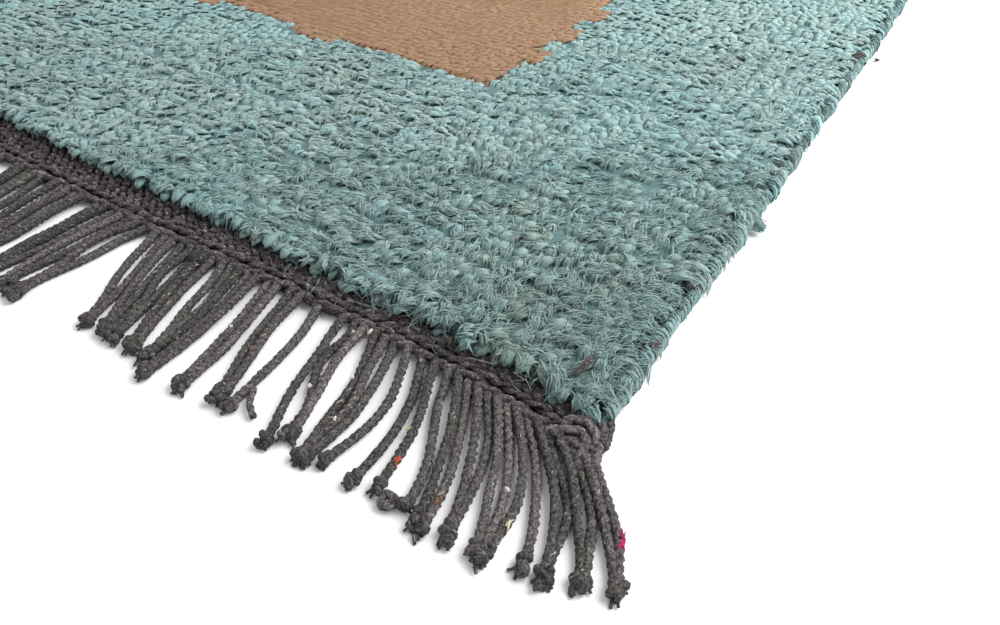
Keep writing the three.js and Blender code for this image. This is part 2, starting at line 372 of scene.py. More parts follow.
TEAL = wool(
    "teal wool", (0.208, 0.345, 0.348), (0.045, 0.095, 0.095), (0.25, 0.33, 0.295),
    tweed=0.2, drawn=0.5, curl=1.2, bump=0.4, soft=0.3,
)
TEAL_SOFT = wool(
    "soft teal wool", (0.215, 0.355, 0.36), (0.18, 0.30, 0.30), (0.25, 0.335, 0.30),
    tweed=0.08, drawn=0.6, bump=0.15, sheen=0.4, soft=0.9,
)
CAMEL = wool(
    "camel wool", (0.285, 0.172, 0.103), (0.25, 0.148, 0.087), (0.27, 0.16, 0.094),
    tweed=0.06, drawn=0.6, bump=0.08, soft=0.6,
)
WRAP = wool(
    "teal wrapped wool", (0.18, 0.305, 0.31), (0.05, 0.095, 0.095), (0.20, 0.28, 0.255),
    drawn=0.5, curl=1.0,
)
CHARCOAL_FIBRES = dict(grain=0.45, bump=1.0, sheen=0.15)
CHARCOAL = wool(
    "charcoal woven wool", (0.052, 0.047, 0.046), (0.007, 0.006, 0.006), (0.105, 0.090, 0.090),
    ((0.42, 0.36, 0.34), 0.645),
    tweed=0.5, drawn=1.2, **CHARCOAL_FIBRES,
)
CORD = wool(
    "charcoal twisted cord", (0.060, 0.061, 0.056), (0.009, 0.008, 0.008), (0.112, 0.096, 0.097),
    ((0.42, 0.40, 0.36), 0.665),
    tweed=0.45, drawn=1.4, **CHARCOAL_FIBRES,
)
HAIR = wool("loose teal fibre", (0.36, 0.55, 0.53), (0.15, 0.25, 0.25), (0.42, 0.5, 0.46), bump=0.1)


def ground_material():
    """The same wool as the lobes, with painted shade in creases that run the way the nap leans."""
    look = Look("knotted ground", {"Roughness": 0.95, "Specular IOR Level": 0.1})
    place = look.add("TexCoord", {}, "Object")
    x, y, z = look.split(place)
    inside = [
        look.calc("LESS_THAN", look.calc("ABSOLUTE", v, 0.0), limit / 1000)
        for v, limit in ((x, FIELD_X), (y, FIELD_Y))
    ]
    nap = {"Vector": place, "Rotation": (0, 0, NAP), "Scale": (0.0075, 0.0026, 0.0026)}
    crease = look.noise(look.add("Mapping", nap, vector_type="TEXTURE"), 1.0, 6.0, Roughness=0.65)
    open_wool = look.ramp(crease, 0.36, 0.56)
    # Painted shade: darker where it lies deeper under the tufts
    top = look.mix(look.ramp(z, 0.0099, 0.0110), (0.13, 0.22, 0.22), (0.165, 0.27, 0.27))
    # Painted shade: darker in the creases between the tufts, on teal and camel alike
    teal = look.mix(open_wool, (0.085, 0.15, 0.15), top)
    camel = look.mix(open_wool, (0.215, 0.125, 0.072), (0.275, 0.165, 0.098))
    return look.finish(look.mix(look.calc("MULTIPLY", *inside), teal, camel), crease, 1.0, 0.002)


# The pile


def knots():
    """Place and row of each knot, and whether it is in the camel field."""
    column, row = np.meshgrid(arange(KNOT_COLUMNS), arange(KNOT_ROWS))
    across = (column + 0.5) / KNOT_COLUMNS * 2 - 1
    along = (row + 0.5) / KNOT_ROWS * 2 - 1
    x = across * (half_width(along * HALF_Y) - SIDE_CORD_WIDTH)
    y = along * pile_end(x)
    # The field's edges are stepped, a knot in or out
    from_end = np.minimum(row, KNOT_ROWS - 1 - row)
    from_side = np.minimum(column, KNOT_COLUMNS - 1 - column)
    field_x = FIELD_X - np.take(SIDE_STEPS, from_end // 2 - FIRST_STEP, mode="wrap")
    field_y = FIELD_Y - np.take(END_STEPS, from_side // 2 - FIRST_STEP, mode="wrap")
    camel = (abs(x) < field_x) & (abs(y) < field_y)
    return x.ravel(), y.ravel(), row.ravel(), camel.ravel()


def picture(x, y, width=0.55, height=0.36):
    """Whether a place on the floor shows within this many picture widths of the photograph's
    middle, and how many millimetres one thousandth of its width covers there."""
    corner = np.array((HALF_X, -HALF_Y)) / 1000
    start = corner + np.array(CAMERA_FROM_CORNER) * CAMERA_HEIGHT
    east, north = x / 1000 - start[0], y / 1000 - start[1]
    ahead = east * CAMERA_HEADING[0] + north * CAMERA_HEADING[1]
    aside = east * CAMERA_HEADING[1] - north * CAMERA_HEADING[0]
    depth = ahead * cos(CAMERA_PITCH) + CAMERA_HEIGHT * sin(CAMERA_PITCH)
    up = ahead * sin(CAMERA_PITCH) - CAMERA_HEIGHT * cos(CAMERA_PITCH)
    share = FOCAL_SHARE / maximum(depth, 0.01)
    seen = (abs(aside * share) < width) & (abs(up * share) < height) & (depth > 0)
    return seen, depth / FOCAL_SHARE


def pile():
    """The pile is made of lobes, four for each knot, and each lobe of locks of fibre that lie over
    its neighbours the way the nap leans."""
    rng = default_rng(11)
    x, y, row, camel = knots()
    seen, grain = picture(x, y)
    fine = where(seen, np.digitize(grain, GRAINS), UNSEEN)
    # Dye lots drift from row to row
    drift = np.convolve(rng.normal(0, 1, KNOT_ROWS + 8), np.ones(3) / 3, "same")[4:-4]
    patch = sin(x / 47 + 2) * sin(y / 61 + 1) + 0.6 * sin(x / 19 + y / 33)
    hue = 0.45 + 0.2 * drift[row] + 0.14 * patch + rng.normal(0, 0.1, len(x))
    light = 0.5 + 0.05 * drift[row] + rng.normal(0, 0.04, len(x))
    # Painted shade: the wool is made darker around the photographed corner, for the dimmer light
    # there
    away = np.hypot(x - HALF_X, y + HALF_Y)
    light -= 0.36 * np.exp(-((away / 110) ** 2))
    groups = (  # name, finest and coarsest level of grain, material
        ("pile_at_corner", 0, 0, TEAL),
        ("pile_by_corner", 1, 1, TEAL),
        ("pile_near_corner", 2, 2, TEAL_SOFT),
        ("pile_in_picture", 3, 3, TEAL_SOFT),
        ("pile_border", UNSEEN, UNSEEN, TEAL_SOFT),
        ("camel_in_picture", 0, 3, CAMEL),
        ("camel_field", UNSEEN, UNSEEN, CAMEL),
    )
    made = []
    for name, first, last, material in groups:
        yarns = Yarns(rng)
        brown = material == CAMEL
        for level in range(first, last + 1):
            k = (camel == brown) & (fine == level)
            if k.any():
                lobes(yarns, x[k], y[k], row[k], hue[k], light[k], level, brown, rng)
        made.append(yarns.make(name, material, "camel_pile" if brown else "teal_pile"))
    return made


def rooms(x, y):
    """How far a place in the pile is from its side and from its end."""
    return half_width(y) - SIDE_CORD_WIDTH - abs(x), pile_end(x) - abs(y)


def lobes(yarns, x, y, row, hue, light, level, camel, rng):
    """Soft leaning lobes, each with a few locks of fibre on it."""
    per_knot, body_rings, body_sides, wide, count, thin, rings, relief = LOCKS[level]
    near = relief > ROUGH
    calm, bend = (0.2, 0.4) if camel else (1.0, 0.75)
    if camel:
        body_sides, count = min(body_sides, 4), 0
    spread = 0.2 if per_knot == 4 and not camel else 0.25
    share = np.array((-spread, spread))
    knot = np.repeat(arange(len(x)), per_knot)
    x = (x[:, None] + KNOT_PITCH[0] * np.tile(share, per_knot // 2)).ravel()
    share = np.repeat(share, 2) if per_knot == 4 else 0 * share
    y = (y[:, None] + KNOT_PITCH[1] * share).ravel()
    row, hue, light = (np.repeat(v, per_knot) for v in (row, hue, light))
    n = len(x)

    def vary(of_knot, of_lobe):
        """The lobes of a knot are more like each other than like their neighbours."""
        return rng.normal(0, of_knot, knot.max() + 1)[knot] + rng.normal(0, of_lobe, len(knot))

    x += vary(0.5 + 0.4 * calm, 0.5 + 0.3 * calm)
    y += vary(0.5 + 0.4 * calm, 0.5 + 0.3 * calm)
    # A second, lower row of lobes along the rug's edges
    side_near, end_near = (room < EDGE_ROOM for room in rooms(x, y))
    k = concatenate([arange(n), np.flatnonzero(end_near), np.flatnonzero(side_near)])
    low = concatenate([np.zeros(n), np.ones(len(k) - n)])
    x, y, row, hue, light, knot = (v[k] for v in (x, y, row, hue, light, knot))
    n = len(x)
    x += low * (np.sign(x) * 3.2 * side_near[k] + rng.normal(0, 1.4, n))
    y += low * (np.sign(y) * 0.8 * end_near[k] + rng.normal(0, 1.4, n))
    clump = sin(x / 2.3 + 1.7 * sin(y / 5.3)) * sin(y / 2.7 + 1.3 * sin(x / 6.1))
    relief = 0.2 * relief if camel else relief
    bulk = clip(np.exp(rng.normal(0, calm * (0.25 if near else 0.15), n)), 0.62, 1.7)
    hue = hue + calm * vary(0.12, 0.06)
    # Random tone, plus painted shade and highlight: lighter where the clumps stand higher, darker
    # in the hollows between them
    light = light + calm * (vary(0.06, 0.06 if near else 0.03) + 0.09 * clump)
    top = LOBE_TOP + 0.4 * sin(x / 41 + 1) * cos(y / 57)
    top += 0.25 * relief * where(row % 2 == 0, 1, -1)
    top += relief * (clip(vary(0.5, 0.2), -1.4, 1.2) + 0.4 * clump)
    top -= 1.6 * (rng.random(n) < (0.015 if camel else 0.07))
    flow = 0.25 * sin(x / 37 + y / 53) + 0.2 * sin(x / 17 - y / 23 + 1)
    heading = NAP + calm * (flow + vary(0.38, 0.2))
    # At the rug's edges the pile falls outward
    side_room, end_room = rooms(x, y)
    side_near, end_near = side_room < EDGE_ROOM, end_room < EDGE_ROOM
    side_fall = np.exp(-maximum(side_room, 0) / 3.5)
    end_fall = np.exp(-maximum(end_room, 0) / 4.0)
    way_x = cos(heading) + 2.4 * np.sign(x) * side_fall
    way_y = sin(heading) + rng.uniform(0.0, 2.2, n) * np.sign(y) * end_fall
    out_x = 1.2 * side_near * np.sign(x) + rng.normal(0, 0.5, n)
    out_y = end_near * np.sign(y) + rng.normal(0, 0.3, n)
    falls = end_near | (side_near & (low > 0))
    heading = np.arctan2(where(falls, out_y, way_y), where(falls, out_x, way_x))
    fall = maximum((2.4 + 5.0 * low) * side_fall, 0.7 * end_fall)
    top -= rng.uniform(0.2, 1.6, n) * end_fall + rng.uniform(0.3, 1.6, n) * side_fall
    top -= low * (rng.uniform(1.4, 3.4, n) - 1.3 * side_near)
    run = (12.0 if camel else 9.8) * np.sqrt(bulk) * rng.uniform(0.85, 1.15, n)
    run += rng.uniform(-2.5, 0.5, n) * end_fall + rng.uniform(-2.5, 0.4, n) * side_fall
    run -= 1.5 * low * (1 - 2.1 * side_near)
    girth = wide * bulk * (1.4 if camel else 1)

    def arch(a, b, k, rings, lift, frayed):
        """Centre lines from within the pile up and over the way the lobe leans."""
        one = (len(k), 1)
        t = linspace(0, 1, rings) ** 0.85
        turned = heading[k] + rng.normal(0, 0.1 + 0.28 * frayed, len(k)) - 0.22 * a
        c, s = cos(turned)[:, None], sin(turned)[:, None]
        long = run[k] * (1 + frayed * rng.uniform(-0.4, 0.15, len(k)))
        along = b[:, None] * 1.8 + long[:, None] * t - 5.0
        over = (a * girth[k] * 0.93)[:, None] * (1 - 0.45 * t)
        over = over + rng.normal(0, 0.3, one) * sin(pi * t)
        curl = rng.uniform(0, 2 * pi, one) + 2 * pi * t * rng.uniform(0.7, 1.4, one)
        over = over + 0.5 * frayed * sin(curl)
        east = x[k][:, None] + c * along - s * over
        north = y[k][:, None] + s * along + c * over
        # Held back where it would reach far past the rug's edge
        beyond = maximum(0, abs(north) - pile_end(east) - 0.6)
        north -= np.sign(north) * 0.4 * beyond
        beyond = maximum(0, abs(east) - half_width(north) + 1.0)
        east -= np.sign(east) * 0.7 * beyond
        crest = (top[k] - 0.25 * girth[k] * a**2 + lift)[:, None]
        rise = sin(pi / 2 * np.minimum(t / 0.4, 1))
        droop = maximum(0, (t - 0.45) / 0.55) ** 1.6 * (bend + 1.2 * relief + fall[k])[:, None]
        droop = droop * (1 - frayed * rng.uniform(-0.1, 0.75, one))
        height = LOBE_FOOT + (crest - LOBE_FOOT) * rise - droop + 0.35 * frayed * cos(curl)
        # Painted shade: darker towards the root, deep in the pile, and less so for the frayed locks
        lit = clip(0.05 + 0.3 * frayed + 2.0 * t, 0, 1) * (1 - 0.2 * a**2 * (1 - frayed))[:, None]
        tone = join(hue[k][:, None], light[k][:, None], lit)
        return t, join(east, north, height), tone

    t, centre, tone = arch(np.zeros(n), np.zeros(n), arange(n), body_rings, -0.38 * wide, 0.0)
    shape = interp(t, (0, 0.3, 0.55, 0.8, 1), (0.8, 1.0, 0.88, 0.55, 0.0))
    shape = shape + 0.3 * end_fall[:, None] * interp(t, (0.4, 0.8, 1), (0, 1, 0))
    fat = girth[:, None] * shape
    flat = 0.28 if camel else 0.4
    yarns.tubes(centre, fat, flat * fat, body_sides, tone, pointed=True)
    if not count:
        return
    k = np.repeat(arange(n), count)
    m = len(k)
    aside, ahead = rng.uniform(-1.1, 1.1, m), rng.uniform(-1, 1, m)
    t, centre, tone = arch(aside, ahead, k, rings, 0.05, 1.0)
    tone[..., 0] += calm * rng.normal(0, 0.08, (m, 1))
    tone[..., 1] += calm * rng.normal(0.04, 0.1, (m, 1))
    shape = interp(t, (0, 0.35, 0.7, 1), (0.8, 1.0, 0.85, 0.0)) * rng.uniform(0.7, 1.3, (m, 1))
    ref = UP + rng.normal(0, 0.2, (m, 3))
    yarns.tubes(centre, thin * shape, 0.6 * thin * shape, 3, tone, ref, pointed=True)


def ground():
    """The woven cloth and the dense foot of the pile on it: a closed slab under the lobes."""
    insets = np.array((0.0, 1.2, 5.0, BORDER - 10, BORDER - 5, BORDER + 5, BORDER + 10))

    def lines(half, reach, count):
        edge = 1 - insets / half
        return np.sort(concatenate([-edge, linspace(-reach, reach, count), edge]))

    width, length = HALF_X - SIDE_CORD_WIDTH, HALF_Y
    u, v = np.meshgrid(lines(width, 0.96, 44), lines(length, 0.98, 92))
    x = u * (half_width(v * HALF_Y) - SIDE_CORD_WIDTH + 0.5)
    y = v * (pile_end(x) - 3.8)
    room = np.minimum((1 - abs(u)) * width, (1 - abs(v)) * length)
    rough = default_rng(3).normal(0, 0.25, x.shape)
    top = interp(room, (0, 1.2, 5.0), (3.6, 6.4, 11.1)) + where(room > 3, rough, 0)
    # Lower where the tufts show more: near the photographed corner and along the field's edge
    shown, grain = picture(x, y, 0.6, 0.4)
    edge = maximum(abs(x) - FIELD_X, abs(y) - FIELD_Y)
    lower = interp(grain, (0.48, 0.58, 0.9, 1.1), (1.2, 1.1, 0.9, 0.0))
    top -= where(shown & (room > 3) & (edge > 7), lower, 0)
    top += where(edge < -7, 0.4, 0) - where(abs(edge) < 7, 0.9, 0)
    points = [join(x, y, z).reshape(-1, 3) for z in (top, 0.15)]
    n = x.size
    grid = arange(n).reshape(x.shape)
    quads = [grid[:-1, :-1], grid[:-1, 1:], grid[1:, 1:], grid[1:, :-1]]
    quads = stack(quads, -1).reshape(-1, 4)
    rim = concatenate([grid[0], grid[1:, -1], grid[-1, -2::-1], grid[-2:0:-1, 0]])
    after = np.roll(rim, -1)
    walls = stack([rim, n + rim, n + after, after], -1)
    faces = concatenate([quads, n + quads[:, [0, 3, 2, 1]], walls])
    me = bpy.data.meshes.new("ground_cloth")
    me.from_pydata((concatenate(points) / 1000).tolist(), [], faces.tolist())
    return piece("ground_cloth", me, ground_material(), "teal_pile", "pile_cloth")


# The sides


def side_cord(side):
    """Fluffy yarn wrapped over the edge, a fat turn about every 10 mm, on a dark core coloured
    mostly in the wool's painted shade colour.
    """
    rng = default_rng(21 + side)
    yarns = Yarns(rng)
    name = "right" if side > 0 else "left"
    limit = pile_end(HALF_X - 9.1)
    y = linspace(-limit + 1, limit - 1, 200)
    core = join(side * (half_width(y) - 4.2), y, 3.7)[None]
    # The core is dark, coloured mostly in the wool's painted shade colour
    yarns.tubes(core, 2.4, 3.0, 8, (0.3, 0.4, 0.25))
    starts = [-limit + 3.5]
    while starts[-1] < limit - 9:
        starts.append(starts[-1] + rng.uniform(7.5, 12.5))
    starts = np.array(starts)
    width = np.append(np.diff(starts), 8.5)
    seen = picture(side * HALF_X, starts)[0]
    for near, strands, rings, sides in ((True, 13, 7, 5), (False, 0, 5, 4)):
        k = np.flatnonzero(seen == near)
        n = len(k)
        if not n:
            continue
        half = width[k] / 2
        swell = rng.normal(0, 0.14, n) + 0.3 * (rng.random(n) < 0.15)
        tint, shade = rng.normal(0.45, 0.22, n), rng.normal(0.5, 0.16, n)
        slope, from_top = rng.normal(1.5, 3.0, n), rng.normal(0.62, 0.08, n)

        def wrap(a, w, lift, cross):
            """Centre lines from inside the top, over and down to the floor."""
            one = (len(w), 1)
            t = linspace(0, 1, rings)
            turn = pi * (from_top[w][:, None] + rng.normal(0, 0.02, one) - 1.22 * t)
            bulge = 1 + swell[w] + rng.normal(0, 0.03 + 0.07 * cross, len(w)) - 0.2 * a**2 + lift
            bulge = bulge[:, None]
            along = (starts[k][w] + half[w] * (1 + 0.85 * a))[:, None]
            along = along + slope[w][:, None] * (t - 0.5)
            along = along + rng.normal(0, 0.4, one) * sin(pi * t)
            along = along + cross * rng.normal(0, 3.2, one) * (t - 0.3)
            east = side * (half_width(along) - 4.6 + 2.9 * bulge * cos(turn))
            height = maximum(5.0 + 4.3 * bulge * sin(turn), 0.9)
            # Painted shade: darker at the edges of a turn and towards the floor
            lit = clip((1.0 - 0.45 * abs(a) ** 3)[:, None] - 0.3 * t**2, 0, 1)
            centre = join(east, clip(along, 0.6 - limit, limit - 0.6), height)
            return t, centre, join(tint[w][:, None], shade[w][:, None], lit)

        t, centre, tone = wrap(np.zeros(n), arange(n), -0.3, 0)
        shape = interp(t, (0, 0.2, 0.8, 1), (0.5, 1, 1, 0.6))
        thick = 1.12 * half[:, None] * shape
        yarns.tubes(centre, 1.5 * shape, thick, sides, tone, ALONG_SIDE)
        if strands:
            w = np.repeat(arange(n), strands)
            m = len(w)
            t, centre, tone = wrap(rng.uniform(-1, 1, m), w, 0.1, 1)
            tone[..., :2] += rng.normal(0, 0.1, (m, 1, 2))
            shape = rng.uniform(0.6, 1.4, (m, 1)) * interp(t, (0, 0.2, 0.8, 1), (0.5, 1, 1, 0.5))
            ref = ALONG_SIDE + rng.normal(0, 0.15, (m, 3))
            yarns.tubes(centre, 0.3 * shape, 0.55 * shape, 3, tone, ref)
    if side > 0:
        loose_end(yarns, rng)
    return yarns.make(f"wrapped_side_{name}", WRAP, "side_cord", f"side_cord_{name}")


def loose_end(yarns, rng):
    """A soft lump of the wrapping that sticks out of the photographed side."""
    east, north, height = 344.5, -561, 5.6
    for n, fat, spread, reach in ((9, 1.7, 0.9, 8.6), (60, 0.26, 1.4, 9.2)):
        a = rng.uniform(-1, 1, (n, 2)) * spread
        t = linspace(0, 1, 7) ** 0.8
        curl = rng.uniform(0, 6, (n, 1)) + 7 * t
        x = east + (reach + rng.normal(0, 0.9, n))[:, None] * t
        y = north + a[:, :1] * (2.6 - 1.0 * t) - 1.5 * t + 0.6 * sin(curl)
        z = height - 1.8 * t**1.5 + a[:, 1:] * (2.0 - 0.7 * t) + 0.3 * cos(curl)
        hue, light = rng.normal(0.5, 0.1, (n, 1, 2)).transpose(2, 0, 1)
        # Painted shade: darker at the root, where it comes out of the side
        tone = join(hue, light, linspace(0.6, 1, 7))
        shape = interp(t, (0, 0.5, 0.9, 1), (0.9, 1, 0.85, 0.35))
        shape = fat * rng.uniform(0.7, 1.2, (n, 1)) * shape
        yarns.tubes(join(x, y, z), shape, 0.85 * shape, 5, tone, foot=False)


# The ends


def end_path(end, fine, coarse):
    """x and s of points across an end, closer together where the photograph shows it."""
    shown = -8.0 if end < 0 else HALF_X - 0.8
    x = arange(HALF_X - 0.8, shown, -fine)
    x = np.append(x, arange(shown, 0.8 - HALF_X, -coarse))
    return x, HALF_X - abs(x)


def bumps(x, every, size, rng):
    """A smooth random wave along x."""
    places = arange(-360, 361, every)
    return interp((x + 360) % 720 - 360, places, rng.normal(0, size, len(places)))


def mottled(x, every, hue, spread, depth, rng):
    """Tones of a yarn that vary along x."""
    hue = clip(hue + bumps(x, every, 0.35, rng), 0, 1)
    return join(hue, clip(0.5 + bumps(x, every, spread, rng), 0, 1), depth)


def kilim(end, name):
    """Rows of charcoal weft that go over and under the warp, on a ground in painted shade."""
    rng = default_rng(31 + end)
    yarns = Yarns(rng)
    rows, sides, n, crowding = (5, 5, 420, 0.985) if end < 0 else (4, 4, 160, 1.0)
    x, s = end_path(end, 0.85, 2.4)
    inner, outer = end_bulge(s) - 1.6, KILIM_REACH + stray(s) - 0.9
    for k in range(rows):
        y = end * (HALF_Y + inner + (outer - inner) * k / (rows - 1))
        phase = pi * (x / 2.5 + k) + bumps(x, 9, 0.5, rng)
        low = interp(s, (0.8, 3.5), (1.6, 0.0))
        z = 3.2 + 0.8 * sin(phase) + bumps(x, 3, 0.3, rng) - low
        y = y + bumps(x, 4, 0.4, rng) + 0.3 * cos(phase)
        fat = 1.3 + 0.32 * sin(phase) + bumps(x, 2.5, 0.16, rng)
        # Painted shade: darker where the weft dips under the warp
        tone = mottled(x, 2.5, 0.4, 0.3, clip(0.6 + 0.5 * sin(phase), 0.05, 1), rng)
        yarns.tubes(join(x, y, z)[None], fat, 0.9 * fat, sides, tone)
    # Nubs of the uneven yarn that stand out of the rows
    x = HALF_X - 4 - rng.uniform(0, 2 * HALF_X - 8, n) ** crowding
    s = HALF_X - abs(x)
    inner, outer = end_bulge(s) - 0.8, KILIM_REACH + stray(s) - 0.4
    y = end * (HALF_Y + inner + (outer - inner) * rng.random(n))
    heading = rng.normal(0, 0.5, n) + where(rng.random(n) < 0.3, 1.4, 0)
    half = rng.uniform(1.2, 2.6, (n, 1, 1))
    t = linspace(-1, 1, 5)
    start = join(x, y, rng.normal(3.9, 0.45, n))
    centre = straight(start, direction(heading), t, half)
    centre[..., 2] += 0.9 * (1 - t**2) - 0.4
    hue, light = rng.uniform(0.1, 0.95, (n, 1, 2)).transpose(2, 0, 1)
    # Painted shade: darker at a nub's ends, where they dip into the rows
    tone = join(hue, light, clip(1.1 - 0.8 * t**2, 0, 1))
    fat = rng.uniform(0.75, 1.4, (n, 1)) * (0.4, 0.9, 1, 0.9, 0.4)
    yarns.tubes(centre, fat, 0.85 * fat, 4, tone)
    # The ground under the rows, coloured all in the wool's painted shade colour
    x, s = end_path(end, 10.0, 10.0)
    inner, outer = end_bulge(s) - 4, TWINED_REACH + stray(s) - 2.0
    y = end * (HALF_Y + (inner + outer) / 2)
    half = (outer - inner) / 2 * interp(s, (0.8, 12), (0.6, 1.12))
    yarns.tubes(join(x, y, 1.5)[None], half, 1.3, 8, (0.2, 0.3, 0.0))
    # Turns of yarn round the corners
    n = 9
    t = linspace(0, 1, 7)
    turn = pi * (0.75 - 1.15 * t)
    for side in (1, -1):
        r = (linspace(6.5, 16.5, n) + rng.normal(0, 0.35, n))[:, None]
        size = rng.uniform(0.85, 1.15, (n, 1))
        x = side * (HALF_X - 2.6 + 3.0 * size * cos(turn) - 0.14 * abs(r - 11))
        y = end * (HALF_Y + r + rng.normal(0, 0.9, (n, 1)) * (t - 0.5))
        z = maximum(2.9 + 2.4 * size * sin(turn), 1.2)
        hue, light = rng.uniform(0.2, 0.8, (n, 1, 2)).transpose(2, 0, 1)
        # Painted shade: darker as a turn goes down the outside towards the floor
        tone = join(hue, light, clip(1 - 0.6 * t, 0, 1))
        yarns.tubes(join(x, y, z), 1.0, 1.15 * size, 6, tone, ALONG_SIDE)
    return yarns.make(f"kilim_rows_{name}", CHARCOAL, "charcoal_wool", f"kilim_end_{name}")


def twined(end, name):
    """Two rows of slanted stitches, like a thin and a thick rope side by side."""
    rng = default_rng(41 + end)
    yarns = Yarns(rng)
    x, s = end_path(end, 1.1, 2.4)
    low = interp(s, (0.8, 4), (1.5, 0.0))
    ropes = (  # reach, height, how far apart their strands lie, half thickness, pitch
        (10.5, 3.6, 0.95, 1.3, 12.6),
        (14.8, 3.3, 1.05, 1.45, 14.6),
    )
    for reach, height, apart, fat, pitch in ropes:
        y = end * (HALF_Y + reach + stray(s))
        turn = 2 * pi * x / pitch + bumps(x, 7, 0.7, rng)
        for strand in range(2):
            a = turn + pi * strand
            centre = join(x, y + end * apart * cos(a), height + apart * sin(a) - low)
            centre[:, 1] += bumps(x, 5, 0.4, rng)
            centre[:, 2] += bumps(x, 4, 0.3, rng)
            size = fat * (1.04 + bumps(x, 2.7, 0.2, rng))
            # Painted shade: a strand is darker where it turns under the rope and lighter on top
            tone = mottled(x, 3.5, 0.45, 0.28, clip(0.6 + 0.55 * sin(a), 0.03, 1), rng)
            yarns.tubes(centre[None], size, size, 6 if end < 0 else 4, tone)
    return yarns.make(f"twined_rows_{name}", CHARCOAL, "charcoal_wool", f"twined_edge_{name}")


# The fringe


def cord_table():
    """Root, lean, reach and bow of each cord of half a fringe, and how far aside and how far out
    the knot that it shares with its neighbours lies from its own tip."""
    found, start = [], 0.0
    for count, pitch, space, *ends in BUNCHES:
        start += space
        share = linspace(0, 1, count)
        root = start + (arange(count) + 0.5) * pitch
        lean, reach, bow = (a + (b - a) * share for a, b in zip(ends[::2], ends[1::2]))
        start += count * pitch
        # The cords are knotted in pairs, and the last three of an odd bunch together
        for pair in np.split(arange(count), range(2, count - 1, 2)):
            own = stack([root - lean, reach])[:, pair]
            shared = own.mean(1, keepdims=True) - own
            found.append(concatenate([stack([root, lean, reach, bow])[:, pair], shared]))
    return concatenate(found, 1)[..., None]


def cord_lines(side, end, t, rng):
    """Centre lines of the cords, (cords, len(t), 3)."""
    root, lean, reach, bow, away, short = cord_table()
    n = len(root)
    start = TWINED_REACH - 1.2 + stray(root)
    late = clip((t - 0.55) / 0.45, 0, 1)
    drawn = 0.62 * late**2 * (3 - 2 * late)
    r = start + (reach - start) * t + short * drawn
    s = root - lean * t - bow * sin(pi * t) + away * drawn
    wave = rng.normal(0, 0.7, (n, 1)) * sin(
        2 * pi * t * rng.uniform(0.8, 1.7, (n, 1)) + rng.uniform(0, 6, (n, 1))
    )
    s = s + wave * np.minimum(1, t * 4)
    lift = 1.5 * (arange(n) % 2)[:, None] * np.exp(-(((t - 0.25) / 0.35) ** 2))
    z = 2.05 + 1.2 * np.exp(-t * 7) + lift
    return join(side * (HALF_X - s), end * (HALF_Y + r), z)


def two_ply(yarns, line, radius, pitch, sides, rng, hue=0.4):
    """Two strands twisted round each centre line, (cords, rings, 3)."""
    one = (len(line), 1)
    tangent = unit(np.gradient(line, axis=1))
    up = unit(UP - tangent * tangent[..., 2:])
    across = np.cross(up, tangent)
    twist = rng.uniform(0, 2 * pi, one)
    tones = clip(rng.normal(hue, 0.28, one), 0, 1)
    lights = clip(rng.normal(0.5, 0.2, one), 0, 1)
    radius = radius * np.ones(line.shape[1])
    for strand in range(2):
        turn = twist + pi * strand + 2 * pi * distance(line) / pitch
        offset = cos(turn)[..., None] * across + sin(turn)[..., None] * up
        offset *= 0.32 * radius[:, None]
        # Painted shade: a strand is darker where it twists under the cord and lighter on top
        lit = clip(0.72 + 0.5 * sin(turn), 0.1, 1)
        tone = join(tones + rng.normal(0, 0.06, one), lights, lit)
        size = radius * 0.73 * (1 + rng.normal(0, 0.07, line.shape[:2]))
        yarns.tubes(line + offset, size, size, sides, tone)


def knobs(yarns, line, near, rng):
    """A hard knot at each cord's tip: turns of yarn round it and a frayed tail."""
    n = len(line)
    rings, sides, loops = (9, 6, 4) if near else (6, 4, 1)
    tip = line[:, -1]
    ahead = unit(tip - line[:, -3])
    for _ in range(loops):
        back = rng.uniform(-0.6, 3.4, (n, 1))
        middle = tip - ahead * back + rng.normal(0, 0.4, (n, 3)) * FLAT
        tilt = unit(ahead + rng.normal(0, 0.55, (n, 3)) * (1, 1, 0.6))
        flat = unit(np.cross(tilt, UP))
        rise = np.cross(flat, tilt)
        wide = rng.uniform(1.1, 1.7, (n, 1, 1))
        turn = linspace(0, 1.8 * pi, rings)[:, None] + rng.uniform(0, 6, (n, 1, 1))
        loop = flat[:, None] * cos(turn) + 0.8 * rise[:, None] * sin(turn)
        centre = straight(middle, tilt, linspace(-0.8, 0.8, rings), 1) + wide * loop
        centre[..., 2] = maximum(centre[..., 2] + 0.6, 1.35)
        hue = clip(rng.normal(0.25, 0.25, (n, 1)), 0, 1)
        tone = join(hue, clip(rng.normal(0.4, 0.15, (n, 1)), 0, 1), 0.8)
        shape = np.ones(rings)
        shape[[0, -1]] = 0.7
        fat = rng.uniform(1.15, 1.6, (n, 1)) * shape
        yarns.tubes(centre, fat, fat, sides, tone, tilt)
    if near:
        k = np.repeat(arange(n), 5)
        m = len(k)
        t = linspace(0, 1, 4)
        way = unit(ahead[k] + rng.normal(0, 0.7, (m, 3)) * (1, 1, 0.3))
        start = tip[k] + rng.normal(0, 0.8, (m, 3)) * FLAT
        centre = straight(start, way, t, rng.uniform(1.6, 3.0, (m, 1, 1)))
        centre[..., 2] = maximum(centre[..., 2] - 1.2 * t, 0.5)
        yarns.tubes(centre, 0.55, 0.55, 4, (0.3, 0.5, 0.9))


